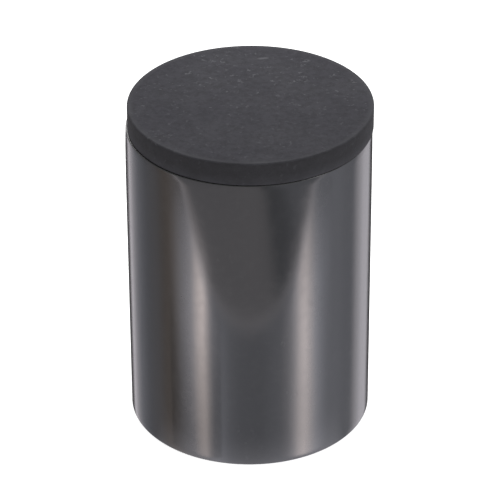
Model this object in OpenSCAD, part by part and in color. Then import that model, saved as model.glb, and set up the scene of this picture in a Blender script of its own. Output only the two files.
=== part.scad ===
// Lined barrel of a rotary rock tumbler, closed by a press-in rubber lid.
// Millimetres. The barrel stands on its closed end, +Z runs up its axis, and
// the origin is the centre of the foot.

/* [Tube] */
// Outside diameter of the tube, which is the surface that rolls on the drive rollers
tube_d = 114.3; // [110:0.1:118]
// Wall thickness of the tube
tube_wall = 6; // [5:0.5:7]
// Length of the tube from its foot to its rim
tube_len = 151.3; // [135:0.1:170]
// Radius of the rounded outer edge at the foot
foot_round = 0.8; // [0.4:0.1:1.5]
// Radius of the rounded outer edge at the rim
rim_round = 0.8; // [0.3:0.1:1.5]

/* [Base] */
// Thickness of the disc that closes the foot
base_t = 6; // [4:0.5:8]
// Width of the shoulder that the disc seats on inside the tube
base_shoulder = 2; // [1.5:0.25:3]
// How far the disc is set back from the foot
base_setback = 0.6; // [0.3:0.1:1.5]

/* [Liner] */
// Thickness of the rubber sleeve inside the tube
sleeve_t = 4; // [3:0.5:5]
// Thickness of the rubber disc on the base
floor_t = 5; // [3:0.5:7]
// Height of the ring that holds the liner in
ring_h = 5; // [4:0.5:7]
// How far the ring reaches inwards past the sleeve
ring_overhang = 0.6; // [0.4:0.1:1.5]

/* [Lifters] */
// How far each lifter bar stands in from the sleeve
lifter_h = 7.5; // [5:0.5:10]
// Radius of a lifter's crest
lifter_crest = 2.5; // [2:0.25:3.5]
// Slope of a lifter's flanks, in degrees
lifter_slope = 22; // [10:1:30]
// Gap between a lifter's ends and the ends of the sleeve
lifter_gap = 2; // [1:0.5:5]

/* [Lid] */
// Diameter of the lid's flange
flange_d = 113.4; // [108:0.1:113.6]
// Thickness of the lid's flange
flange_t = 11; // [8:0.1:14]
// Radius of the rounded edge on top of the flange
flange_top_round = 0.8; // [0.5:0.1:2.5]
// Radius of the rounded edge under the flange
flange_low_round = 0.9; // [0.5:0.1:1.5]
// How deep the plug reaches below the flange
plug_depth = 14; // [12:0.5:18]
// Radial thickness of the plug's rubber skirt
skirt_t = 7.3; // [6:0.1:9]
// Thickness of the rigid disc inside the plug
core_t = 8; // [5:0.5:10]

/* [Sealing lips] */
// Radius of a sealing lip's round section
lip_r = 1.2; // [0.8:0.1:1.4]
// Distance from one lip to the next
lip_pitch = 3.5; // [3.2:0.1:4]
// Radial clearance between the lips and the bore
lip_clearance = 0.06; // [0.03:0.01:0.1]

/* [Hidden] */
$fn = 96;
LIFTERS = 4;
LIPS = 3;

// Radial gap between pieces that are bonded or pressed together
bond_gap = 0.05;
// Rounded edge on the small discs and rings
small_round = 0.5;
// Height and width of the lead-in at the tube's mouth
lead_h = 2;
lead_w = 0.9;

// The tube's surfaces
tube_r = tube_d / 2;
bore_r = tube_r - tube_wall;
seat_r = bore_r + base_shoulder;
seat_z = base_setback + base_t;

// The lid, from the rim up: a seat bead holds the flange off the rim
bead_h = 0.3;
bead_w = 2.4;
bead_r = bore_r + 2;
bead_gap = 0.05;
flange_z = tube_len + bead_gap + bead_h;
flange_r = flange_d / 2;
plug_r = bore_r - 0.85;
plug_z = flange_z - plug_depth;
plug_lead = 1.2;
core_r = plug_r - skirt_t;
core_z = flange_z - core_t;
lip_centre_r = bore_r - lip_clearance - lip_r;
lip_first_z = plug_z + 3;

// The liner, from the base up to the ring below the plug
floor_z = seat_z;
sleeve_z = floor_z + floor_t;
ring_z = plug_z - 2 - ring_h;
sleeve_r = bore_r - bond_gap;
sleeve_in = bore_r - sleeve_t;
ring_in = sleeve_in - ring_overhang;

// Half profile of a disc with rounded outer edges, standing on y = 0
module disc_profile(r, t, top, low) {
    translate([0, low]) square([r, t - top - low]);
    translate([0, low]) square([r - top, t - low]);
    square([r - low, t - top]);
    translate([r - top, t - top]) circle(top);
    translate([r - low, low]) circle(low);
}

// A turned disc or, with a hole radius, a turned ring
module turned(r, t, z, hole = 0, top = small_round, low = small_round) {
    translate([0, 0, z])
        rotate_extrude()
            difference() {
                disc_profile(r, t, top, low);
                if (hole > 0)
                    translate([0, -1]) square([hole, t + 2]);
            }
}

// Tube, with a step at the foot for the base disc and a lead-in at the mouth
module barrel_tube() {
    color([0.07, 0.07, 0.08])
        rotate_extrude()
            difference() {
                disc_profile(tube_r, tube_len, rim_round, foot_round);
                polygon([
                    [0, -1], [seat_r, -1], [seat_r, seat_z], [bore_r, seat_z],
                    [bore_r, tube_len - lead_h], [bore_r + lead_w, tube_len],
                    [bore_r + lead_w, tube_len + 1], [0, tube_len + 1]
                ]);
            }
}

// Disc solvent-welded against the shoulder
module base_disc() {
    color([0.09, 0.09, 0.1])
        turned(seat_r - bond_gap, base_t, base_setback);
}

// Rubber disc that lies on the base
module liner_floor() {
    color([0.12, 0.11, 0.11])
        turned(sleeve_r, floor_t, floor_z);
}

// Rubber sleeve that lines the bore and stands on the floor disc
module liner_sleeve() {
    color([0.14, 0.13, 0.12])
        turned(sleeve_r, ring_z - sleeve_z, sleeve_z, hole = sleeve_in);
}

// Section of a lifter, standing in from the sleeve towards the axis
module lifter_profile() {
    crest_x = sleeve_in - lifter_h + lifter_crest;
    start = [crest_x - lifter_crest * sin(lifter_slope), lifter_crest * cos(lifter_slope)];
    end_x = sleeve_in + 1;
    end_y = start.y + (end_x - start.x) * tan(lifter_slope);
    intersection() {
        circle(sleeve_in);
        union() {
            translate([crest_x, 0]) circle(lifter_crest);
            polygon([start, [end_x, end_y], [end_x, -end_y], [start.x, -start.y]]);
        }
    }
}

// One rubber bar that carries the stones up the wall
module lifter_bar(i) {
    color([0.14, 0.13, 0.12])
        rotate([0, 0, (i - 1) * 360 / LIFTERS])
            translate([0, 0, sleeve_z + lifter_gap])
                linear_extrude(ring_z - sleeve_z - 2 * lifter_gap)
                    lifter_profile();
}

// Ring bonded in the bore above the sleeve: it keeps the liner in
module retaining_ring() {
    color([0.32, 0.33, 0.35])
        turned(sleeve_r, ring_h, ring_z, hole = ring_in);
}

// Skirt of the lid's plug, with a tapered start
module skirt_profile() {
    polygon([
        [core_r, plug_z], [plug_r - plug_lead, plug_z],
        [plug_r, plug_z + 1.5 * plug_lead], [plug_r, flange_z + 1], [core_r, flange_z + 1]
    ]);
}

// Moulded rubber lid: flange, seat bead, and a skirt with sealing lips
module lid_cap() {
    color([0.10, 0.10, 0.11])
        rotate_extrude() {
            translate([0, flange_z])
                disc_profile(flange_r, flange_t, flange_top_round, flange_low_round);
            translate([bead_r, flange_z - bead_h])
                square([bead_w, bead_h + 1]);
            skirt_profile();
            for (i = [0 : LIPS - 1])
                translate([lip_centre_r, lip_first_z + i * lip_pitch])
                    circle(lip_r);
        }
}

// Rigid disc that keeps the plug round and the flange flat
module lid_core() {
    color([0.55, 0.56, 0.57])
        turned(core_r - bond_gap, core_t, core_z);
}

// Rubber facing over the core, level with the end of the skirt
module lid_inner_pad() {
    color([0.14, 0.13, 0.12])
        turned(core_r - bond_gap, plug_depth - core_t, plug_z);
}

barrel_tube();
base_disc();
liner_floor();
liner_sleeve();
for (i = [1 : LIFTERS])
    lifter_bar(i);
retaining_ring();
lid_cap();
lid_core();
lid_inner_pad();
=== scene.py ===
import math

import bpy
from mathutils import Matrix, Vector, noise


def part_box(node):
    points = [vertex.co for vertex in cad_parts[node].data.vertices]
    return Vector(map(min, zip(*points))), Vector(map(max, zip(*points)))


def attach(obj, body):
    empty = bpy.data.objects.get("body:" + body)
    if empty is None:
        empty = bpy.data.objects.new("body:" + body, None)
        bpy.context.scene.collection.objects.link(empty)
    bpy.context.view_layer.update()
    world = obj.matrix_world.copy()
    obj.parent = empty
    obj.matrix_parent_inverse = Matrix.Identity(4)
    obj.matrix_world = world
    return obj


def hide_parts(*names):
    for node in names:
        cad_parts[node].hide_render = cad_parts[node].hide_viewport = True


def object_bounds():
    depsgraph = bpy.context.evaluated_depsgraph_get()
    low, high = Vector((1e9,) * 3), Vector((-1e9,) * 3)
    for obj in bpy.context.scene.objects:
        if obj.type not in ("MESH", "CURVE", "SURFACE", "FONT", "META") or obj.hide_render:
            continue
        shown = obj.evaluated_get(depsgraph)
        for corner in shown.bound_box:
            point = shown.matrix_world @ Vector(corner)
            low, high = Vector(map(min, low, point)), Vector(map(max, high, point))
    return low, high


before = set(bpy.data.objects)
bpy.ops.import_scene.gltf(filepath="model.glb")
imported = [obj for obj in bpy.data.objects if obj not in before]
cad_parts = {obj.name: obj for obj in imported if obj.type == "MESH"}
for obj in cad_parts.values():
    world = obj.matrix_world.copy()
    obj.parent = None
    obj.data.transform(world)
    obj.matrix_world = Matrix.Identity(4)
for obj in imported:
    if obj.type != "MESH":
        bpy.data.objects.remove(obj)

# The looks of a rock tumbler barrel. Metres, +Z up the barrel's axis, foot on z = 0.

cad_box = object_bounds()
MM = 0.001

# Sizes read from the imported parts
tube_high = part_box("barrel_tube")[1]
base_low, base_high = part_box("base_disc")
floor_low, floor_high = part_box("liner_floor")
sleeve_low, sleeve_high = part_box("liner_sleeve")
ring_low, ring_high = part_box("retaining_ring")
cap_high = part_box("lid_cap")[1]
core_low, core_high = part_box("lid_core")
pad_low, pad_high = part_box("lid_inner_pad")

BOND_GAP = 0.05 * MM
# The tube, its bore, the seat of its base disc and the lead-in at its mouth
TUBE_R = tube_high.x
TUBE_TOP = tube_high.z
BORE_R = sleeve_high.x + BOND_GAP
SEAT_R = base_high.x + BOND_GAP
SEAT_Z = base_high.z
LEAD_H, LEAD_W = 2 * MM, 0.9 * MM
# The liner: inner radii of the sleeve and the ring, and the lifters' height and crest
SLEEVE_IN = BORE_R - 4 * MM
RING_IN = SLEEVE_IN - 0.6 * MM
LIFTER_H, CREST_R = 7.5 * MM, 2.5 * MM
# The lid: its flange, plug, core seat, sealing lips and seat bead
FLANGE_R = 56.7 * MM
FLANGE_Z = core_high.z
PLUG_R = BORE_R - 0.85 * MM
PLUG_Z = pad_low.z
CORE_R = core_high.x + BOND_GAP
LIP_R = 1.2 * MM
LIP_CENTRE_R = BORE_R - 0.06 * MM - LIP_R
LIP_HEIGHTS = [PLUG_Z + (3 + 3.5 * i) * MM for i in range(3)]
BEAD_IN, BEAD_OUT = BORE_R + 2 * MM, BORE_R + 4.4 * MM
BEAD_LOW = FLANGE_Z - 0.3 * MM
# The soft flange sits a little off the tube's axis
FLANGE_SHIFT = 0.85 * MM


# ---------------------------------------------------------------- outlines

def arc(cx, cz, radius, start, end, steps):
    """Points on a circle in the (r, z) half plane, from one angle to another in degrees."""
    turn = [math.radians(start + (end - start) * i / steps) for i in range(steps + 1)]
    return [(cx + radius * math.cos(t), cz + radius * math.sin(t)) for t in turn]


def rounded(corners):
    """A closed outline from (r, z, radius) corners, each rounded by an arc in six steps."""
    outline, steps = [], 6
    for i, (x, z, radius) in enumerate(corners):
        here = Vector((x, z))
        if radius <= 0:
            outline.append((x, z))
            continue
        before = Vector(corners[i - 1][:2]) - here
        after = Vector(corners[(i + 1) % len(corners)][:2]) - here
        before.normalize()
        after.normalize()
        half = before.angle(after) / 2
        reach = radius / math.tan(half)
        centre = here + (before + after).normalized() * (radius / math.sin(half))
        first = here + before * reach - centre
        last = here + after * reach - centre
        swing = first.angle_signed(last)
        for k in range(steps + 1):
            spoke = first.copy()
            spoke.rotate(Matrix.Rotation(-swing * k / steps, 2))
            outline.append(tuple(centre + spoke))
    return outline


def divided(outline, longest):
    """The closed outline with its long edges cut into pieces no longer than longest."""
    points = []
    for i, a in enumerate(outline):
        b = outline[(i + 1) % len(outline)]
        if a[0] == 0 and b[0] == 0:
            points.append(a)
            continue
        parts = max(1, math.ceil(math.dist(a, b) / longest))
        for k in range(parts):
            points.append((a[0] + (b[0] - a[0]) * k / parts, a[1] + (b[1] - a[1]) * k / parts))
    return points


# ------------------------------------------------------------------ meshes

def new_piece(name, points, faces, sharp_angle=40):
    """A smooth-shaded mesh object, with its edges over sharp_angle degrees kept sharp."""
    mesh = bpy.data.meshes.new(name)
    mesh.from_pydata(points, [], faces)
    mesh.validate()
    mesh.shade_smooth()
    mesh.set_sharp_from_angle(angle=math.radians(sharp_angle))
    piece = bpy.data.objects.new(name, mesh)
    bpy.context.scene.collection.objects.link(piece)
    return piece


def even_turns(steps):
    """Angles in radians, evenly round the axis."""
    return [2 * math.pi * k / steps for k in range(steps)]


def lathe(name, outline, turns, shape=None):
    """Turns a closed (r, z) outline, listed anticlockwise, about Z. shape(point) may move each
    point a little."""
    points, rows = [], []
    for r, z in outline:
        row = []
        for turn in turns[:1] if r == 0 else turns:
            point = Vector((r * math.cos(turn), r * math.sin(turn), z))
            points.append(shape(point) if shape else point)
            row.append(len(points) - 1)
        rows.append(row)
    faces = []
    for i, here in enumerate(rows):
        there = rows[(i + 1) % len(rows)]
        if len(here) == 1 and len(there) == 1:
            continue
        for k in range(len(turns)):
            a, b = here[k % len(here)], here[(k + 1) % len(here)]
            c, d = there[(k + 1) % len(there)], there[k % len(there)]
            # On the axis two corners are one point, and the face is a triangle
            faces.append(list(dict.fromkeys((a, b, c, d))))
    return new_piece(name, points, faces)


def loft(name, sections, shape):
    """Joins (z, plan outline) sections from the bottom up and closes both ends."""
    count = len(sections[0][1])
    points = [shape(Vector((x, y, z))) for z, outline in sections for x, y in outline]
    faces = [list(reversed(range(count))), list(range(len(points) - count, len(points)))]
    for start in range(0, len(points) - count, count):
        for k in range(count):
            ahead = (k + 1) % count
            faces.append((start + k, start + ahead, start + count + ahead, start + count + k))
    return new_piece(name, points, faces, 50)


def finish_piece(piece, body, material, node):
    """Gives a piece its material and body, and hides the CAD node that it stands for."""
    piece.data.materials.append(material)
    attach(piece, body)
    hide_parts(node)


# --------------------------------------------------------------- materials

class Graph:
    """A short way to write the nodes of a material or a world."""

    def __init__(self, owner):
        self.owner = owner
        owner.use_nodes = True
        self.tree = owner.node_tree
        self.tree.nodes.clear()
        self.coordinates = self.add("ShaderNodeTexCoord").outputs
        self.place = self.coordinates["Object"]

    def add(self, kind, settings=None, **inputs):
        """Adds a node. Inputs are values or sockets, by name, with an underscore for a space, or
        by number, such as _6."""
        node = self.tree.nodes.new(kind)
        for key, value in (settings or {}).items():
            setattr(node, key, value)
        for key, value in inputs.items():
            socket = node.inputs[int(key[1:]) if key[0] == "_" else key.replace("_", " ")]
            if isinstance(value, bpy.types.NodeSocket):
                self.tree.links.new(value, socket)
            else:
                socket.default_value = value
        return node

    def noise(self, scale, detail=4, stretch=(1, 1, 1), rough=0.5, offset=(0, 0, 0), turn=0):
        """Noise from 0 to 1, with features about 1 / scale metres across, turned about Z."""
        moved = self.add("ShaderNodeMapping", Vector=self.place, Scale=stretch, Location=offset,
                         Rotation=(0, 0, math.radians(turn)))
        made = self.add("ShaderNodeTexNoise", Vector=moved.outputs[0], Scale=scale, Detail=detail,
                        Roughness=rough)
        return made.outputs["Fac"]

    def span(self, value, low, high, to_low=0.0, to_high=1.0):
        """Maps low..high onto to_low..to_high, and holds the ends."""
        made = self.add("ShaderNodeMapRange", {"clamp": True}, Value=value)
        for key, number in zip(("From Min", "From Max", "To Min", "To Max"),
                               (low, high, to_low, to_high)):
            made.inputs[key].default_value = number
        return made.outputs["Result"]

    def math(self, operation, a, b=0.0, c=0.0):
        """One Math node."""
        return self.add("ShaderNodeMath", {"operation": operation}, _0=a, _1=b, _2=c).outputs[0]

    def mix(self, factor, a, b):
        """A colour between a and b."""
        made = self.add("ShaderNodeMix", {"data_type": "RGBA"}, _0=factor, _6=a, _7=b)
        return made.outputs[2]

    def bump(self, height, distance, strength=1.0, normal=None):
        """A normal raised by height, on top of another bump if one is given."""
        made = self.add("ShaderNodeBump", Height=height, Distance=distance, Strength=strength)
        if normal is not None:
            self.tree.links.new(normal, made.inputs["Normal"])
        return made.outputs["Normal"]

    def split(self, vector):
        """The X, Y and Z of a vector."""
        return self.add("ShaderNodeSeparateXYZ", _0=vector).outputs

    def from_axis(self, shift=0.0):
        """The distance from the Z axis, or from a parallel axis shifted along X."""
        flat = self.add("ShaderNodeMapping", Vector=self.place, Scale=(1, 1, 0),
                        Location=(-shift, 0, 0))
        made = self.add("ShaderNodeVectorMath", {"operation": "LENGTH"}, _0=flat.outputs[0])
        return made.outputs["Value"]

    def finish(self, colour, roughness, normal, **fixed):
        """Ends in a Principled shader. fixed holds values that are the same all over."""
        shader = self.add("ShaderNodeBsdfPrincipled", Base_Color=colour, Roughness=roughness,
                          Normal=normal, **fixed)
        self.add("ShaderNodeOutputMaterial", Surface=shader.outputs[0])
        return self.owner

    def finish_glow(self, colour, strength, under=None):
        """Ends in an emitter, added to another shader if one is given."""
        shader = self.add("ShaderNodeEmission", Color=colour, Strength=strength)
        if under is not None:
            shader = self.add("ShaderNodeAddShader", _0=under.outputs[0], _1=shader.outputs[0])
        self.add("ShaderNodeOutputMaterial", Surface=shader.outputs[0])
        self.owner.cycles.emission_sampling = "NONE"
        return self.owner


def grey(value, red=1.0, blue=1.0):
    """A neutral colour, tinted a little."""
    return (value * red, value, value * blue, 1)


def gloss_plastic():
    """Smooth extruded black pipe: faint lines along it, a painted highlight along its cut ends, a
    few scuffs, an uneven skin.
    """
    g = Graph(bpy.data.materials.new("gloss_black_plastic"))
    haze = g.noise(28, 4)
    worn = g.span(g.noise(45, 3, offset=(0.3, 0.1, 0.7)), 0.58, 0.72)
    scuff = g.math("MULTIPLY", g.span(g.noise(500, 5, (1, 1, 0.6)), 0.6, 0.8), worn)
    height = g.split(g.place)["Z"]
    # Painted highlight: a paler band along the foot's edge and along the rim of the mouth, made
    # uneven by noise
    ends = g.math("MAXIMUM", g.span(height, 0.2 * MM, 0.9 * MM, 1, 0),
                  g.span(height, TUBE_TOP - 0.2 * MM, TUBE_TOP, 0, 0.5))
    ends = g.math("MULTIPLY", ends, g.span(g.noise(260, 3), 0.3, 0.6, 0.5, 1))
    # The scuffs are wear; the ends add their painted highlight to them
    scuffs_and_edge_highlight = g.math("MAXIMUM", ends, scuff)
    smudge = g.span(g.noise(240, 4, offset=(1, 0, 2)), 0.48, 0.68)
    colour = g.mix(haze, grey(0.0155, 0.98, 1.08), grey(0.0185, 1.0, 1.0))
    colour = g.mix(scuffs_and_edge_highlight, colour, grey(0.04))
    colour = g.mix(g.math("MULTIPLY", smudge, 0.15), colour, grey(0.03))
    roughness = g.math("ADD", g.span(haze, 0.3, 0.7, 0.11, 0.15), g.math("MULTIPLY", scuffs_and_edge_highlight, 0.2))
    roughness = g.math("MULTIPLY_ADD", smudge, 0.03, roughness)
    skin = g.bump(g.noise(60, 2, (1, 1, 0.5)), 0.035 * MM)
    skin = g.bump(g.noise(330, 3, (1, 1, 0.8)), 0.009 * MM, normal=skin)
    lines = g.bump(g.noise(300, 2, (1, 1, 0.01)), 0.004 * MM, normal=skin)
    lines = g.bump(g.noise(900, 3, (1, 1, 0.01)), 0.0015 * MM, normal=lines)
    return g.finish(colour, roughness, lines)


def lid_dust(g, place):
    """How much dust shows: pale specks, fewer at the front and fewer below the top."""
    specks = g.math("MULTIPLY", g.span(g.noise(520, 3, offset=(2, 1, 0)), 0.6, 0.7),
                    g.span(g.noise(110, 3), 0.4, 0.55))
    at_back = g.span(place["Y"], -20 * MM, 25 * MM, 0.45, 1)
    on_top = g.span(place["Z"], cap_high.z - 1.5 * MM, cap_high.z - 0.5 * MM, 0.45, 1)
    return g.math("MULTIPLY", g.math("MULTIPLY", specks, at_back), on_top)


def lid_scrape(g):
    """How much a short scrape shows, near the back of the top."""
    middle = (6 * MM, 43 * MM, cap_high.z)
    half_size, turn = (5 * MM, 1.2 * MM, 1 * MM), 0.12
    across = g.add("ShaderNodeMapping", {"vector_type": "TEXTURE"}, Vector=g.place,
                   Location=middle, Rotation=(0, 0, turn), Scale=half_size)
    reach = g.add("ShaderNodeVectorMath", {"operation": "LENGTH"}, _0=across.outputs[0])
    return g.math("MULTIPLY", g.span(reach.outputs["Value"], 0.3, 1.1, 0.9, 0),
                  g.span(g.noise(420, 3, (0.4, 1, 1)), 0.4, 0.6))


def lid_pale_edges(g, place, radius):
    """How much the flange is paler: round the edge of its top, and low on its flank."""
    rim = g.math("MULTIPLY", g.span(radius, FLANGE_R - 3.2 * MM, FLANGE_R - 1.2 * MM),
                 g.span(place["Z"], cap_high.z - 0.7 * MM, cap_high.z - 0.4 * MM))
    foot = g.math("MULTIPLY", g.span(place["Z"], FLANGE_Z, FLANGE_Z + 5 * MM, 0.9, 0),
                  g.span(radius, FLANGE_R - 1.5 * MM, FLANGE_R - 0.9 * MM))
    return g.math("MULTIPLY", g.math("MAXIMUM", rim, foot),
                  g.span(g.noise(120, 4), 0.35, 0.6, 0.4, 1))


def lid_rubber():
    """Matt moulded rubber: mottled grain, dust specks, a scrape, paler edges, and a flank painted a
    more neutral grey for the light that falls on it.
    """
    g = Graph(bpy.data.materials.new("matt_black_rubber"))
    fine = g.noise(950, 3, rough=0.7)
    mottle = g.noise(330, 4, rough=0.65)
    blotch = g.noise(38, 4)
    place = g.split(g.place)
    radius = g.from_axis(FLANGE_SHIFT)
    colour = g.mix(g.span(blotch, 0.3, 0.7), grey(0.0145, 1.03, 1.25), grey(0.0175, 1.03, 1.25))
    colour = g.mix(g.span(mottle, 0.38, 0.62), colour, grey(0.0255, 1.03, 1.24))
    colour = g.mix(g.span(fine, 0.35, 0.65, 0, 0.5), colour, grey(0.028, 1.03, 1.22))
    # Painted light: the flank is tinted less blue, standing in for the tint of the light on the
    # side
    flank = g.span(radius, FLANGE_R - 0.8 * MM, FLANGE_R - 0.3 * MM, 0, 0.6)
    colour = g.mix(flank, colour, grey(0.0185, 1.03, 1.04))
    colour = g.mix(lid_pale_edges(g, place, radius), colour, grey(0.033, 1.01, 1.15))
    colour = g.mix(lid_dust(g, place), colour, grey(0.058, 1.0, 1.12))
    colour = g.mix(lid_scrape(g), colour, grey(0.085, 1.0, 1.1))
    normal = g.bump(mottle, 0.12 * MM, 1, g.bump(fine, 0.06 * MM, 0.8))
    return g.finish(colour, g.span(blotch, 0.3, 0.7, 0.82, 0.92), normal, Specular_IOR_Level=0.22)


def worn_rubber(name, value, dusty):
    """Liner rubber, greyed by wear, with small cuts and with stone dust in its hollows."""
    g = Graph(bpy.data.materials.new(name))
    grain = g.noise(1600, 4, rough=0.65)
    pits = g.noise(260, 5, rough=0.6)
    patch = g.noise(45, 5)
    cuts = g.math("MAXIMUM", g.span(g.noise(420, 2, (1, 0.12, 0.5), turn=35), 0.68, 0.76),
                  g.span(g.noise(420, 2, (0.12, 1, 0.5), turn=60), 0.68, 0.76))
    dust = g.math("MULTIPLY", g.span(pits, 0.62, 0.36, 0, dusty),
                  g.span(patch, 0.35, 0.65, 0.35, 1))
    colour = g.mix(patch, grey(value, 1.05, 0.97), grey(value * 1.6, 1.04, 0.95))
    colour = g.mix(dust, colour, grey(0.12, 1.06, 0.9))
    colour = g.mix(g.math("MULTIPLY", cuts, 0.5), colour, grey(0.1, 1.05, 0.92))
    normal = g.bump(pits, 0.25 * MM, 0.8, g.bump(grain, 0.08 * MM, 0.6))
    normal = g.bump(cuts, -0.1 * MM, 0.6, normal)
    return g.finish(colour, g.span(patch, 0.3, 0.7, 0.67, 0.83), normal)


def satin_plastic(name, value, rings):
    """Machined plastic: turning rings, fine scratches three ways and a soft shine."""
    g = Graph(bpy.data.materials.new(name))
    wander = g.math("MULTIPLY", g.noise(300, 3), 2.5)
    ring = g.math("SINE", g.math("MULTIPLY_ADD", g.from_axis(), rings, wander))
    long_ways = [g.span(g.noise(1100, 2, (1, 0.03, 1), offset=(turn, 0, 0), turn=turn), 0.66, 0.74)
                 for turn in (15, 70, 120)]
    scratch = g.math("MAXIMUM", g.math("MAXIMUM", long_ways[0], long_ways[1]), long_ways[2])
    scratch = g.math("MULTIPLY", scratch, g.span(g.noise(80, 3), 0.4, 0.6, 0, 0.5))
    cloud = g.noise(50, 5)
    colour = g.mix(cloud, grey(value, 1, 1.03), grey(value * 1.4, 1, 1.02))
    colour = g.mix(scratch, colour, grey(min(0.5, value * 3)))
    normal = g.bump(ring, 0.012 * MM, 0.5, g.bump(g.noise(1200, 3), 0.02 * MM, 0.4))
    normal = g.bump(scratch, -0.02 * MM, 0.5, normal)
    return g.finish(colour, g.span(cloud, 0.3, 0.7, 0.32, 0.48), normal)


# ------------------------------------------------------------------ barrel

def ripple(point, size, reach, seed=0):
    """A smooth random value for a point, with features about reach metres across."""
    return size * noise.noise(point / reach + Vector((seed, 0, 0)))


def pushed_out(point, distance):
    """The point, moved away from the axis."""
    return point + distance * Vector((point.x, point.y, 0)).normalized()


def toed_in(point):
    """Draws the outside of the pipe in near its cut ends, and more on the -X side of the mouth."""
    skin, fade = 1.5 * MM, 9 * MM
    mouth_draw, mouth_lopsided, foot_draw = 0.33 * MM, 0.2 * MM, 0.05 * MM
    r = math.hypot(point.x, point.y)
    if r < TUBE_R - skin:
        return point
    mouth = (mouth_draw - mouth_lopsided * point.x / r) * math.exp((point.z - TUBE_TOP) / fade)
    foot = foot_draw * math.exp(-point.z / fade)
    return pushed_out(point, -mouth - foot)


def make_tube(material):
    """The pipe, with the step for its base disc and the lead-in for the lid."""
    outline = rounded([
        (SEAT_R, 0, 0.3 * MM), (TUBE_R, 0, 0.8 * MM), (TUBE_R, TUBE_TOP, 0.4 * MM),
        (BORE_R + LEAD_W, TUBE_TOP, 0.2 * MM), (BORE_R, TUBE_TOP - LEAD_H, 0.4 * MM),
        (BORE_R, SEAT_Z, 0.1 * MM), (SEAT_R, SEAT_Z, 0.1 * MM),
    ])
    tube = lathe("tube_shell", divided(outline, 3 * MM), even_turns(360), toed_in)
    finish_piece(tube, "barrel", material, "barrel_tube")


def make_base(material):
    """The base disc, with a centre mark in its face and a fillet of cement round its edge."""
    mark_r, mark_h = 1.2 * MM, 0.5 * MM
    fillet_r = 0.5 * MM
    fillet = arc(SEAT_R - fillet_r, base_low.z - fillet_r, fillet_r, 90, 0, 6)
    outline = [(0, base_low.z + mark_h), (mark_r, base_low.z)] + fillet + rounded([
        (base_high.x, base_low.z, 0), (base_high.x, base_high.z, 0.5 * MM), (0, base_high.z, 0),
    ])
    disc = lathe("base_plate", divided(outline, 3 * MM), even_turns(288))
    finish_piece(disc, "barrel", material, "base_disc")


def make_liner_floor(material):
    """The floor rubber, dented by the stones where the sleeve leaves it bare."""
    def dented(point):
        if point.z < floor_high.z - 0.1 * MM or math.hypot(point.x, point.y) > SLEEVE_IN:
            return point
        return point + Vector((0, 0, ripple(point, 0.3 * MM, 9 * MM) - 0.1 * MM))

    outline = rounded([
        (0, floor_low.z, 0), (floor_high.x, floor_low.z, 0.5 * MM),
        (floor_high.x, floor_high.z, 0.5 * MM), (0, floor_high.z, 0),
    ])
    pad = lathe("liner_floor_pad", divided(outline, 1.6 * MM), even_turns(240), dented)
    finish_piece(pad, "barrel", material, "liner_floor")


def make_sleeve(material):
    """The rubber sleeve: a rolled strip with a butt seam, worn a little wavy inside."""
    seam, seam_half, seam_depth = math.radians(45), 0.45 * MM, 0.6 * MM

    def worn(point):
        if math.hypot(point.x, point.y) > SLEEVE_IN + 0.1 * MM:
            return point
        across = abs(math.atan2(point.y, point.x) - seam) * SLEEVE_IN
        groove = seam_depth * max(0, 1 - across / seam_half)
        return pushed_out(point, groove + ripple(point, 0.22 * MM, 13 * MM, 7))

    outline = rounded([
        (SLEEVE_IN, sleeve_low.z, 0.3 * MM), (sleeve_high.x, sleeve_low.z, 0.5 * MM),
        (sleeve_high.x, sleeve_high.z, 0.5 * MM), (SLEEVE_IN, sleeve_high.z, 0.5 * MM),
    ])
    beside = [seam + k * seam_half / SLEEVE_IN / 2 for k in (-2, -1, 1, 2)]
    turns = sorted(even_turns(360) + beside)
    sleeve = lathe("liner_sleeve_rubber", divided(outline, 3 * MM), turns, worn)
    finish_piece(sleeve, "barrel", material, "liner_sleeve")


def lifter_outline(inset):
    """A lifter in plan, on the +X side: round crest, sloping flanks, and toes that flare onto the
    sleeve. Inset pulls the crest and flanks in."""
    slope = math.radians(22)
    flare, toe_run = 1.2 * MM, 1.5 * MM
    crest_x = SLEEVE_IN - LIFTER_H + CREST_R
    crest = arc(crest_x, 0, CREST_R - inset, 90 + math.degrees(slope), 180, 7)
    # The flank is the line y = rise * x + offset, and it ends on the sleeve's circle
    rise = math.tan(slope)
    offset = crest[0][1] - rise * crest[0][0]
    root = math.sqrt((1 + rise ** 2) * SLEEVE_IN ** 2 - offset ** 2)
    toe = Vector(((root - rise * offset) / (1 + rise ** 2), 0))
    toe.y = rise * toe.x + offset
    landing = toe.copy()
    landing.rotate(Matrix.Rotation(flare / SLEEVE_IN, 2))
    leaving = toe - toe_run * Vector((1, rise)).normalized()
    blend = [(1 - t) ** 2 * landing + 2 * t * (1 - t) * toe + t ** 2 * leaving
             for t in (0, 0.2, 0.4, 0.6, 0.8, 1)]
    half = [tuple(p) for p in blend] + crest
    spread = math.degrees(math.atan2(landing.y, landing.x))
    back = arc(0, 0, SLEEVE_IN + 0.15 * MM, -spread, spread, 6)
    return half + [(x, -y) for x, y in reversed(half[:-1])] + back


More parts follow.
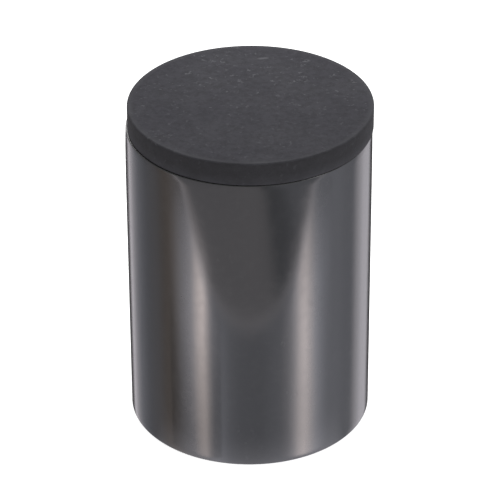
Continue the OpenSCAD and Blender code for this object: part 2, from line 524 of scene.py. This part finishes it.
def make_lifter(number, material):
    """One rubber bar with rounded ends, worn slightly uneven along its crest."""
    low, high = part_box(f"lifter_bar_{number}")
    end_round, rows = 1.2 * MM, 36
    turn = Matrix.Rotation(math.radians(90 * (number - 1)), 3, "Z")

    def worn(point):
        placed = turn @ point
        if math.hypot(point.x, point.y) > SLEEVE_IN - 1.5 * MM:
            return placed
        return pushed_out(placed, 0.1 * MM + ripple(placed, 0.3 * MM, 10 * MM, 5))

    # (distance from the end, inset) round the quarter circle at each end
    edge = [(end_round * (1 - math.cos(t)), end_round * (1 - math.sin(t)))
            for t in [math.radians(15 * k) for k in range(6)]]
    first, last = low.z + end_round, high.z - end_round
    heights = [first + (last - first) * k / rows for k in range(rows + 1)]
    sections = [(low.z + up, lifter_outline(inset)) for up, inset in edge]
    sections += [(z, lifter_outline(0)) for z in heights]
    sections += [(high.z - up, lifter_outline(inset)) for up, inset in reversed(edge)]
    bar = loft(f"lifter_bar_{number}_rubber", sections, worn)
    finish_piece(bar, "barrel", material, f"lifter_bar_{number}")


def make_ring(material):
    """The retaining ring, with a fillet of cement between its top and the bore."""
    low_in, low_out, top_in, fillet_r = 0.4 * MM, 0.5 * MM, 1 * MM, 0.6 * MM
    outline = arc(RING_IN + low_in, ring_low.z + low_in, low_in, 180, 270, 6)
    outline += arc(ring_high.x - low_out, ring_low.z + low_out, low_out, -90, 0, 6)
    outline += arc(BORE_R - fillet_r, ring_high.z + fillet_r, fillet_r, 0, -90, 6)
    outline += arc(RING_IN + top_in, ring_high.z - top_in, top_in, 90, 180, 6)
    ring = lathe("liner_ring", divided(outline, 3 * MM), even_turns(288))
    finish_piece(ring, "barrel", material, "retaining_ring")


# --------------------------------------------------------------------- lid

def lip_outline():
    """The skirt's outer wall from the flange down, with its three round sealing lips."""
    spread = math.degrees(math.acos((PLUG_R - LIP_CENTRE_R) / LIP_R))
    wall = []
    for z in reversed(LIP_HEIGHTS):
        wall += arc(LIP_CENTRE_R, z, LIP_R, spread, -spread, 10)
    return wall


def flange_shape(point):
    """Moves the flange off the axis and lets its edge sag towards the rim on one side, but
    leaves the plug where it fits the bore."""
    r = math.hypot(point.x, point.y)
    sag_r, sag_reach, most_sag, sag_turn = BEAD_OUT + 0.1 * MM, 3 * MM, 0.33 * MM, math.radians(-30)
    share = min(1, max(0, (point.z - FLANGE_Z + 0.5 * MM) / MM)) * min(1, max(0, (r - PLUG_R) / MM))
    if point.z > FLANGE_Z + MM:
        share = 1
    moved = point + Vector((FLANGE_SHIFT * share, 0, 0))
    above = (point.z - FLANGE_Z) / sag_reach
    if r > sag_r and above < 1:
        side = (1 + math.cos(math.atan2(point.y, point.x) - sag_turn)) / 2
        moved.z -= most_sag * side * (1 - max(0, above))
    return moved


def make_cap(material):
    """The rubber lid: flange, seat bead, and the plug's skirt with its lips."""
    above = rounded([
        (0, FLANGE_Z, 0), (0, cap_high.z, 0), (FLANGE_R, cap_high.z, 0.8 * MM),
        (FLANGE_R, FLANGE_Z, 0.7 * MM), (BEAD_OUT, FLANGE_Z, 0.1 * MM),
        (BEAD_OUT, BEAD_LOW, 0.15 * MM), (BEAD_IN, BEAD_LOW, 0.15 * MM),
        (BEAD_IN, FLANGE_Z, 0.1 * MM), (PLUG_R, FLANGE_Z, 0), (PLUG_R, PLUG_Z, 0),
        (CORE_R, PLUG_Z, 0), (CORE_R, FLANGE_Z, 0),
    ])
    outline = above[:-3] + lip_outline() + [
        (PLUG_R, PLUG_Z + 1.8 * MM), (PLUG_R - 1.2 * MM, PLUG_Z), (CORE_R + 0.3 * MM, PLUG_Z),
        (CORE_R, PLUG_Z + 0.3 * MM), (CORE_R, FLANGE_Z),
    ]
    # The corners above run clockwise
    outline.reverse()
    cap = lathe("lid_rubber_cap", divided(outline, 2.5 * MM), even_turns(360), flange_shape)
    finish_piece(cap, "lid", material, "lid_cap")


def make_core(material):
    """The stiffening disc, with a groove round its edge that keys it into the rubber."""
    middle = (core_low.z + core_high.z) / 2
    groove_half, groove_depth = 1 * MM, 0.6 * MM
    outline = rounded([
        (0, core_low.z, 0), (core_high.x, core_low.z, 0.5 * MM),
        (core_high.x, middle - groove_half, 0.2 * MM),
        (core_high.x - groove_depth, middle - groove_half, 0.2 * MM),
        (core_high.x - groove_depth, middle + groove_half, 0.2 * MM),
        (core_high.x, middle + groove_half, 0.2 * MM),
        (core_high.x, core_high.z, 0.5 * MM), (0, core_high.z, 0),
    ])
    core = lathe("lid_core_disc", divided(outline, 3 * MM), even_turns(240))
    finish_piece(core, "lid", material, "lid_core")


def make_pad(material):
    """The facing under the lid, dented by the stones."""
    def dented(point):
        if point.z > pad_low.z + 0.1 * MM or math.hypot(point.x, point.y) > CORE_R - MM:
            return point
        return point + Vector((0, 0, ripple(point, 0.25 * MM, 8 * MM, 3)))

    outline = rounded([
        (0, pad_low.z, 0), (pad_high.x, pad_low.z, 0.5 * MM), (pad_high.x, pad_high.z, 0.5 * MM),
        (0, pad_high.z, 0),
    ])
    pad = lathe("lid_facing", divided(outline, 1.6 * MM), even_turns(240), dented)
    finish_piece(pad, "lid", material, "lid_inner_pad")


# ------------------------------------------------------------------ studio
# The barrel's upright wall mirrors what lies below the horizon. The floor is left out of its
# reflections. They show a polished table instead, whose front edge is TABLE_FRONT away, with the
# mirror images of two softboxes in it. Azimuths are in degrees from -Y, positive towards +X.
# A tone is (place, radiance, warmth).

TABLE_FRONT = 175 * MM
TABLE_TONES = [
    (-157, 0.1, 0.4), (-150, 1.3, 0.5), (-140, 0.9, 0.4), (-128, 0.6, 0), (-112, 0.48, 0),
    (-96, 0.55, 0.6), (-90, 0.5, 1.4), (-84, 0.55, 2), (-80, 0.7, 1.6), (-30, 2.2, 0),
    (-20, 1.4, 0), (-10, 1.1, 0), (10, 1.0, 0), (30, 1.35, 0), (80, 1.4, 0), (92, 1.15, 0),
    (102, 0.85, 0), (113, 0.65, 0), (122, 1.3, 0.4), (134, 1.6, 0.4), (150, 1.0, 0.4),
    (157, 0.1, 0.4),
]
LEFT_GLOW = [
    (-82, 0.7, 2), (-76, 1.2, 1.2), (-65, 2.8, 0.4), (-57, 4.3, 0.4), (-50, 8.5, 1.1),
    (-45, 10.8, 1.2), (-41, 6.7, 0.9), (-36, 3.5, 0.2), (-27, 2.9, 0),
]
RIGHT_GLOW = [
    (29, 1.4, 0), (39, 2.7, 0.3), (44, 4.5, 0.5), (49, 7.7, 0.9), (54, 9, 1), (59, 6.6, 0.8),
    (65, 4.2, 0.2), (71, 2.8, 0), (76, 2.1, 0), (83, 1.6, 0),
]
# How a softbox's brightness runs from the bottom edge of its image (0) to the top edge (1)
LEFT_RISE = [
    (0, 0.34), (0.4, 0.41), (0.5, 0.55), (0.57, 0.71), (0.63, 0.92), (0.68, 1), (0.76, 0.92),
    (0.84, 0.83), (0.95, 0.68),
]
RIGHT_RISE = [
    (0, 0.68), (0.4, 0.72), (0.52, 0.8), (0.59, 0.91), (0.65, 0.99), (0.72, 1), (0.79, 0.87),
    (0.86, 0.7), (0.97, 0.44),
]
# The heights on a card between which the lean and the spread of its low end fade out
LOW_FULL, LOW_GONE = 0.43, 0.62
# The radiance that a card's colour ramp calls 1
CARD_FULL, SOFTBOX_FULL = 10, 12
# The sky's radiance at the horizon, and from a third of the way up
SKY_LOW, SKY = 0.9, 0.35


def heading(azimuth):
    """The level unit vector at an azimuth."""
    turn = math.radians(azimuth)
    return Vector((math.sin(turn), -math.cos(turn), 0))


def tone(value, warmth):
    """A light colour, from bluish at warmth 0 to pinkish at 1."""
    return grey(value, 0.99 + 0.125 * warmth, 1.13 - 0.135 * warmth)


def fill_ramp(ramp, stops):
    """Fills a colour ramp from (position, colour) stops."""
    while len(ramp.elements) > 1:
        ramp.elements.remove(ramp.elements[-1])
    for i, (position, colour) in enumerate(stops):
        element = ramp.elements[0] if i == 0 else ramp.elements.new(position)
        element.position = position
        element.color = colour


def seen_only_in_reflections(card):
    """Hides a card from everything but mirror rays."""
    for kind in ("camera", "diffuse", "transmission", "volume_scatter", "shadow"):
        setattr(card, "visible_" + kind, False)


def flat_card(name, half_width, low, high, material):
    """A rectangle in its own XY plane, from low to high in Y."""
    card = new_piece(name, [
        (-half_width, low, 0), (half_width, low, 0), (half_width, high, 0), (-half_width, high, 0),
    ], [(0, 1, 2, 3)])
    card.data.materials.append(material)
    return card


def make_floor():
    """A pale floor with a glow of its own, just below the foot."""
    half, drop = 6, 0.05 * MM
    g = Graph(bpy.data.materials.new("studio_floor"))
    paint = g.add("ShaderNodeBsdfDiffuse", Color=grey(0.6))
    floor = flat_card("studio_floor", half, -half, half, g.finish_glow(grey(1), 0.8, paint))
    floor.visible_glossy = False
    floor.location.z = -drop


def make_world():
    """White behind everything, a soft even sky, and the table's tones below the horizon."""
    brightest = 2
    world = bpy.data.worlds.new("studio")
    bpy.context.scene.world = world
    g = Graph(world)
    way = g.split(g.coordinates["Generated"])
    azimuth = g.math("ARCTAN2", way["X"], g.math("MULTIPLY", way["Y"], -1))
    tones = g.add("ShaderNodeValToRGB", Fac=g.span(azimuth, -math.pi, math.pi))
    fill_ramp(tones.color_ramp, [(0.5 + degrees / 360, tone(value / brightest, warmth))
                                 for degrees, value, warmth in TABLE_TONES])
    below = g.math("LESS_THAN", way["Z"], 0)
    sky = g.mix(g.span(way["Z"], 0, 0.5), grey(SKY_LOW / brightest), grey(SKY / brightest))
    light = g.mix(below, sky, tones.outputs[0])
    seen = g.add("ShaderNodeLightPath").outputs["Is Camera Ray"]
    background = g.add("ShaderNodeBackground", Color=g.mix(seen, light, grey(1 / brightest)),
                       Strength=brightest)
    g.add("ShaderNodeOutputWorld", Surface=background.outputs[0])


def glowing(name, across, up, strength, lean=0.0, spread=0.0):
    """An emitting material whose tone runs along the card's X, and its brightness along Y. Low on
    the card the tones move towards +X by lean, and spread out from the middle, both in shares of
    the card's width."""
    g = Graph(bpy.data.materials.new(name))
    place = g.split(g.coordinates["Generated"])
    x = place["X"]
    low_down = g.span(place["Y"], LOW_FULL, LOW_GONE, 1, 0)
    moved = g.math("MULTIPLY", low_down, g.math("MULTIPLY_ADD", x, spread, lean - 0.5 * spread))
    side = g.add("ShaderNodeValToRGB", Fac=g.math("SUBTRACT", x, moved))
    fill_ramp(side.color_ramp, [(at, tone(value / strength, warmth))
                                for at, value, warmth in across])
    rise = g.add("ShaderNodeValToRGB", Fac=place["Y"])
    fill_ramp(rise.color_ramp, [(at, grey(value)) for at, value in up])
    return g.finish_glow(side.outputs[0], g.math("MULTIPLY", rise.outputs[0], strength))


def mirrored_softbox(name, glow, rise, lean=0.0, spread=0.0):
    """The mirror image, under the table, of a softbox whose tones run by azimuth."""
    away, top, bottom = 1.2, -0.55, -1.0
    first, last = glow[0][0], glow[-1][0]
    middle = (first + last) / 2
    half = away * math.tan(math.radians(last - first) / 2)
    out = heading(middle)
    side = heading(middle + 90)
    # A wall mirrors an azimuth where it faces half of it
    start = TUBE_R * heading(middle / 2)
    across = [(0.5 + 0.5 * away * math.tan(math.radians(azimuth - middle)) / half, value, warmth)
              for azimuth, value, warmth in glow]
    light = glowing(name, across, rise, SOFTBOX_FULL, lean, spread)
    card = flat_card(name, half, bottom, top, light)
    facing = Matrix((side, Vector((0, 0, 1)), out)).transposed().to_4x4()
    card.matrix_world = Matrix.Translation(start + out * away) @ facing
    seen_only_in_reflections(card)


def front_card(name, near, far, tones):
    """A strip in front of the barrel, from near to far. Its tones are placed by X, in metres."""
    half, drop = 1.5, 1 * MM
    across = [(0.5 + 0.5 * x / half, value, warmth) for x, value, warmth in tones]
    light = glowing(name, across, [(0, 1), (1, 1)], CARD_FULL)
    card = flat_card(name, half, -far, -near, light)
    card.location.z = -drop
    seen_only_in_reflections(card)


def make_foot_glow():
    """The table is a little brighter close to the front of the foot."""
    reach, drop, radiance = 30 * MM, 1 * MM, 1.2
    full_y, gone_y = -50 * MM, -34 * MM
    inner, outer, height = TUBE_R + 0.1 * MM, TUBE_R + reach, 0.2 * MM
    card = lathe("foot_glow", [(inner, 0), (outer, 0), (outer, height), (inner, height)],
                 even_turns(96))
    card.location.z = -drop
    g = Graph(bpy.data.materials.new("foot_glow"))
    near = g.span(g.from_axis(), inner, outer, 1, 0)
    # A mirrored ray crosses both the top and the bottom of this thin ring
    front = g.span(g.split(g.place)["Y"], full_y, gone_y, radiance / 2, 0)
    power = g.math("MULTIPLY", g.math("MULTIPLY", near, near), front)
    clear = g.add("ShaderNodeBsdfTransparent")
    card.data.materials.append(g.finish_glow(tone(1, 0.3), power, clear))
    seen_only_in_reflections(card)


def area_light(name, place, aim, size, power):
    """A soft rectangular light at place, turned towards aim."""
    data = bpy.data.lights.new(name, "AREA")
    data.shape = "RECTANGLE"
    data.size, data.size_y = size
    data.energy = power
    lamp = bpy.data.objects.new(name, data)
    lamp.location = place
    lamp.rotation_euler = (Vector(aim) - Vector(place)).to_track_quat("-Z", "Y").to_euler()
    lamp.visible_camera = False
    bpy.context.scene.collection.objects.link(lamp)


def sun_light(name, power, spread):
    """Soft light from straight above, the same all over the floor."""
    data = bpy.data.lights.new(name, "SUN")
    data.energy = power
    data.angle = math.radians(spread)
    lamp = bpy.data.objects.new(name, data)
    bpy.context.scene.collection.objects.link(lamp)


def make_camera():
    """A long lens, looking 31 degrees down at the barrel's middle."""
    pitch, roll_turn = math.radians(31.44), -0.0048
    distance = 25.36 * TUBE_R
    aim = Vector((0.34 * MM, 0, 0.5136 * cad_box[1].z))
    back = Vector((0, -math.cos(pitch), math.sin(pitch)))
    data = bpy.data.cameras.new("camera")
    data.sensor_width = 36
    data.lens = 221.4
    camera = bpy.data.objects.new("camera", data)
    roll = Matrix.Rotation(roll_turn, 3, "Z")
    camera.matrix_world = Matrix.Translation(aim + back * distance) @ (
        (-back).to_track_quat("-Z", "Y").to_matrix() @ roll).to_4x4()
    bpy.context.scene.collection.objects.link(camera)
    bpy.context.scene.camera = camera


make_camera()
make_floor()
make_world()
mirrored_softbox("left_softbox_image", LEFT_GLOW, LEFT_RISE, lean=0.032)
mirrored_softbox("right_softbox_image", RIGHT_GLOW, RIGHT_RISE, spread=0.15)
# The table's edge is rounded, so the softboxes' images fade out across it
front_card("table_edge_start", TABLE_FRONT - 10 * MM, TABLE_FRONT, [
    (-0.23, 2.6, 0.6), (-0.2, 3.7, 0.6), (-0.165, 5.7, 0.8), (-0.138, 6.8, 0.8),
    (-0.116, 4.1, 0.6), (-0.098, 2.2, 0), (-0.05, 1.4, 0), (0, 1.0, 0), (0.08, 1.3, 0),
    (0.116, 1.9, 0), (0.138, 2.9, 0.3), (0.165, 4.8, 0.6), (0.195, 4.9, 0.6), (0.23, 2.8, 0.4),
])
front_card("table_edge", TABLE_FRONT, TABLE_FRONT + 9 * MM, [
    (-0.22, 2.4, 0.7), (-0.145, 4.2, 0.8), (-0.122, 2.8, 0.7), (-0.1, 2.0, 0.5), (0.1, 2.0, 0.5),
    (0.145, 2.3, 0.5), (0.18, 3, 0.6), (0.22, 2.4, 0.4),
])
front_card("table_edge_end", TABLE_FRONT + 9 * MM, TABLE_FRONT + 25 * MM, [
    (-0.22, 1.7, 0.7), (-0.15, 2.2, 0.7), (-0.11, 1.2, 0.5), (0.02, 1.15, 0.5), (0.06, 1.05, 0.5),
    (0.1, 0.5, 0), (0.15, 0.9, 0.3), (0.2, 1.4, 0.4),
])
front_card("past_the_table", TABLE_FRONT + 25 * MM, 1.5, [
    (-0.5, 0.95, 0.4), (0.02, 1.15, 0.5), (0.06, 1.05, 0.5), (0.1, 0.45, 0), (0.14, 0.5, 0),
    (0.2, 0.9, 0),
])
make_foot_glow()
sun_light("overhead_light", 0.8, 100)
area_light("rear_softbox", (0, 0.25, 0.44), (0, 0, 0.16), (0.4, 0.3), 1.9)
area_light("right_softbox", (1.0, -0.5, 0.7), (0, 0, 0.1), (0.4, 0.6), 3.6)
bpy.context.scene.view_settings.view_transform = "Standard"

make_tube(gloss_plastic())
make_base(satin_plastic("base_sheet_plastic", 0.02, 4200))
make_liner_floor(worn_rubber("liner_floor_rubber", 0.036, 0.6))
make_sleeve(worn_rubber("liner_sleeve_rubber", 0.032, 0.4))
lifter_material = worn_rubber("lifter_bar_rubber", 0.034, 0.5)
for number in range(1, 5):
    make_lifter(number, lifter_material)
make_ring(satin_plastic("ring_plastic", 0.06, 3000))
make_cap(lid_rubber())
make_core(satin_plastic("core_plastic", 0.3, 2500))
make_pad(worn_rubber("lid_facing_rubber", 0.030, 0.3))
